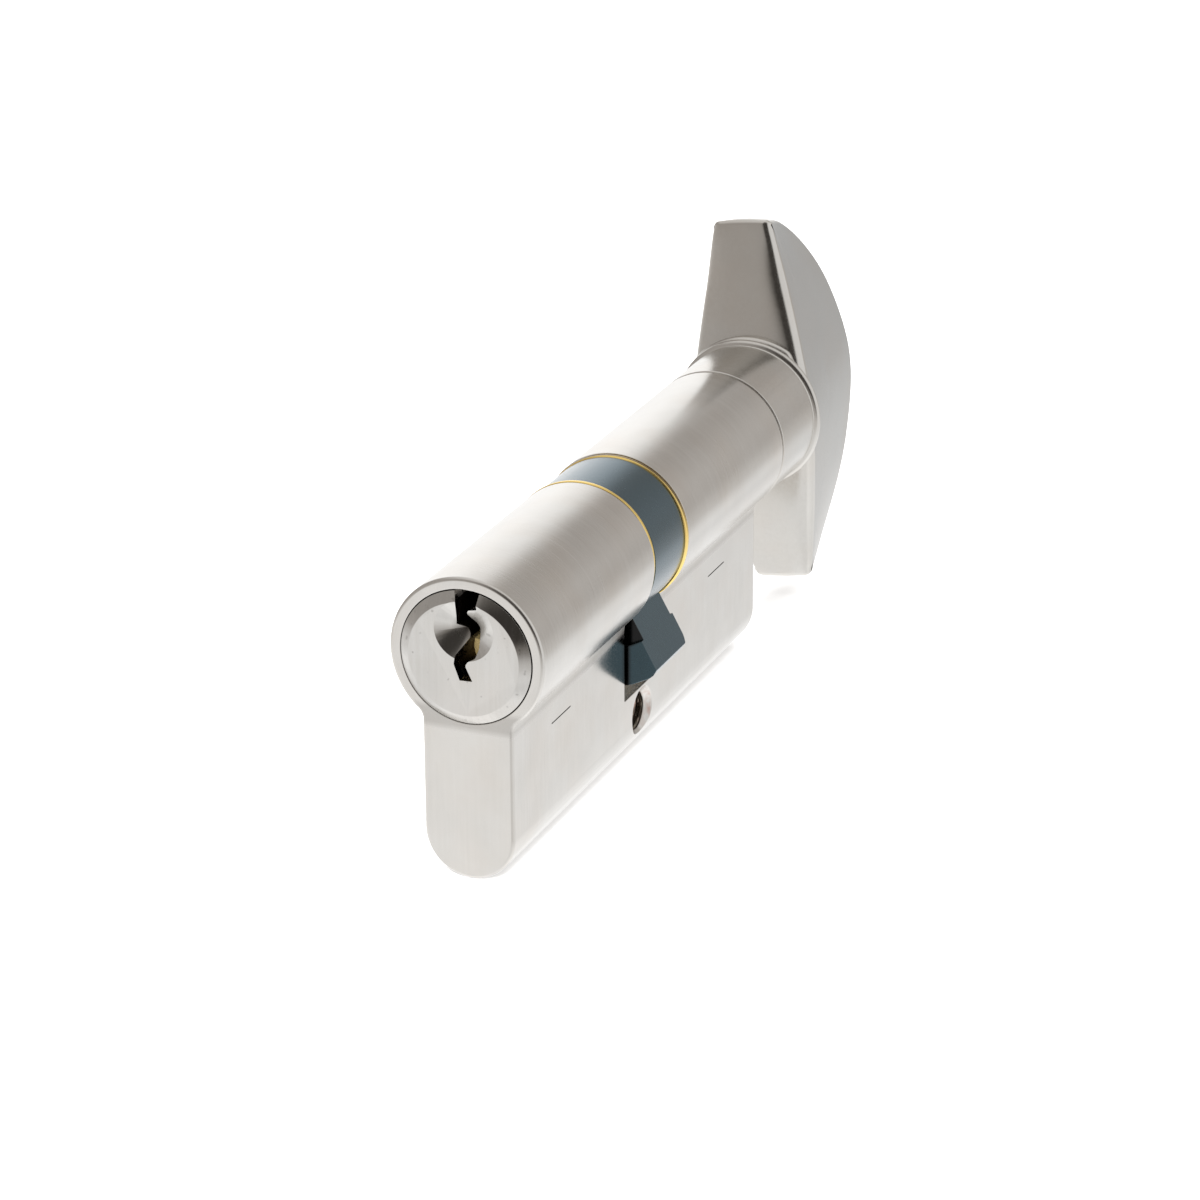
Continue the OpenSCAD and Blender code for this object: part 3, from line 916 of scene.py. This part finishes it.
def build_floor():
    half, z = 3.0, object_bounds()[0][2] - 0.0002
    mesh = bpy.data.meshes.new("floor")
    corners = [(-half, -half, z), (half, -half, z), (half, half, z), (-half, half, z)]
    mesh.from_pydata(corners, [], [(0, 1, 2, 3)])
    floor = link("floor", mesh)
    mat, g, bsdf = new_material("floor")
    obj = g.add("ShaderNodeTexCoord").outputs["Object"]
    tone = g.span(g.noise(obj, 9.0, 3.0), 0.3, 0.7, 0.90, 0.93)
    g.feed(g.add("ShaderNodeCombineColor", {0: tone, 1: tone, 2: tone}).outputs[0], bsdf["Base Color"])
    for name, value in (("Roughness", 0.9), ("Specular IOR Level", 0.0),
                        ("Emission Color", rgb(1.0, 1.0, 1.0)), ("Emission Strength", 0.30)):
        g.feed(value, bsdf[name])
    mesh.materials.append(mat)
    floor.visible_glossy = False


def build_world():
    """A soft studio around the object: its brightness by height, in columns of directions round it."""
    world = bpy.data.worlds.new("studio")
    world.use_nodes = True
    world.node_tree.nodes.clear()
    g = Graph(world.node_tree)
    direction = g.add("ShaderNodeTexCoord").outputs["Generated"]
    x, y, z = g.split(direction)
    height = g.span(g.math("MULTIPLY", g.math("ARCSINE", z), 180 / math.pi), -90, 90)
    turn = g.math("MULTIPLY", g.math("ARCTAN2", x, g.math("MULTIPLY", y, -1.0)), 180 / math.pi)
    turn = g.math("FLOORED_MODULO", g.math("ADD", turn, 120.0), 360.0)
    brightest = 1.5

    def column(stops, low_warmth=0.10):
        """Brightness by height in degrees, warmer where it is darker."""
        node = g.add("ShaderNodeValToRGB", {0: height})
        elements = node.color_ramp.elements
        node.color_ramp.interpolation = "EASE"
        while len(elements) < len(stops):
            elements.new(0.5)
        for element, (deg, level) in zip(elements, stops):
            element.position = (deg + 90) / 180
            warmth = low_warmth if deg < 0 else 0.10
            warm = 1 - warmth * (1 - min(1.0, level))
            tone = level / brightest
            element.color = rgb(tone * (2 - warm), tone, tone * warm)
        return node.outputs[0]

    left = column([(-60, 1.38), (-44, 1.08), (-28, 1.27), (-14, 0.90), (-2, 0.51), (10, 0.45), (35, 0.42),
                   (62, 0.80)])
    front = column([(-60, 1.28), (-44, 1.0), (-34, 1.10), (-20, 0.80), (-6, 0.26), (4, 0.05), (30, 0.05),
                    (44, 0.13), (56, 0.16), (75, 0.8)])
    right = column([(-60, 1.38), (-20, 1.0), (0, 0.95), (30, 0.9), (60, 0.8)])
    back_right = column([(-34, 1.28), (-23, 1.04), (-12, 0.68), (-3, 0.53), (10, 0.57), (24, 0.50),
                         (36, 0.50), (60, 0.8)])
    back = column([(-34, 1.20), (-29, 1.06), (-24, 0.84), (-17, 0.64), (-9, 0.53), (10, 0.55), (24, 0.45),
                   (36, 0.47), (60, 0.8)], low_warmth=-0.03)
    back_left = column([(-34, 1.28), (-20, 1.30), (-9, 1.25), (1, 1.31), (14, 1.38), (30, 1.1), (60, 0.9)])
    colour = left
    for lo, hi, other in ((98, 122, front), (173, 189, right), (250, 266, back_right),
                          (280, 288, back), (296, 319, back_left), (344, 358, left)):
        colour = g.mix(g.span(turn, lo, hi, smooth=True), colour, other)
    background = g.add("ShaderNodeBackground", {"Color": colour, "Strength": brightest})
    g.add("ShaderNodeOutputWorld", {0: background.outputs[0]})
    scene.world = world


def build_lights():
    for name, place, size, energy in (("overhead", Vector((0, 0.02, 1.1)), 1.6, 24.0),
                                      ("front_fill", Vector((0.027, -0.099, 0.047)), 0.02, 0.10)):
        data = bpy.data.lights.new(name, "AREA")
        data.shape, data.size, data.energy = "SQUARE", size, energy
        light = bpy.data.objects.new(name, data)
        light.location = place
        light.rotation_euler = (place - Vector((0, 0, AXIS_Z * MM))).to_track_quat("Z", "Y").to_euler()
        light.visible_glossy = light.visible_camera = False
        scene.collection.objects.link(light)


def build_backdrop():
    """A pale dome that only the camera sees, so that every view has a plain background."""
    bm = bmesh.new()
    bmesh.ops.create_uvsphere(bm, u_segments=48, v_segments=24, radius=2.9)
    mesh = bpy.data.meshes.new("backdrop")
    bm.to_mesh(mesh)
    bm.free()
    dome = link("backdrop", mesh)
    mat, g, glow = new_material("backdrop", "ShaderNodeEmission")
    g.feed(rgb(1.0, 1.0, 1.0), glow["Color"])
    mesh.materials.append(mat)
    for ray in ("diffuse", "glossy", "transmission", "volume_scatter", "shadow"):
        setattr(dome, f"visible_{ray}", False)


def build_camera():
    azimuth, elevation, roll = math.radians(22.483), math.radians(21.521), math.radians(-0.374)
    right = Vector((math.cos(azimuth), math.sin(azimuth), 0))
    up = Vector((-math.sin(azimuth) * math.sin(elevation), math.cos(azimuth) * math.sin(elevation),
                 math.cos(elevation)))
    back = Vector((math.sin(azimuth) * math.cos(elevation), -math.cos(azimuth) * math.cos(elevation),
                   math.sin(elevation)))
    r, u = math.cos(roll) * right + math.sin(roll) * up, math.cos(roll) * up - math.sin(roll) * right
    distance = 437.8
    target = Vector((0, -5, 11)) + 2.020 * right + 2.935 * up
    place = (target + distance * back) * MM
    data = bpy.data.cameras.new("camera")
    data.lens, data.sensor_width, data.clip_start = 122.3, 36.0, 0.01
    camera = bpy.data.objects.new("camera", data)
    camera.matrix_world = Matrix(((r.x, u.x, back.x, place.x), (r.y, u.y, back.y, place.y),
                                  (r.z, u.z, back.z, place.z), (0, 0, 0, 1)))
    scene.collection.objects.link(camera)
    scene.camera = camera


build_floor()
build_world()
build_lights()
build_backdrop()
build_camera()
scene.view_settings.view_transform = "Standard"
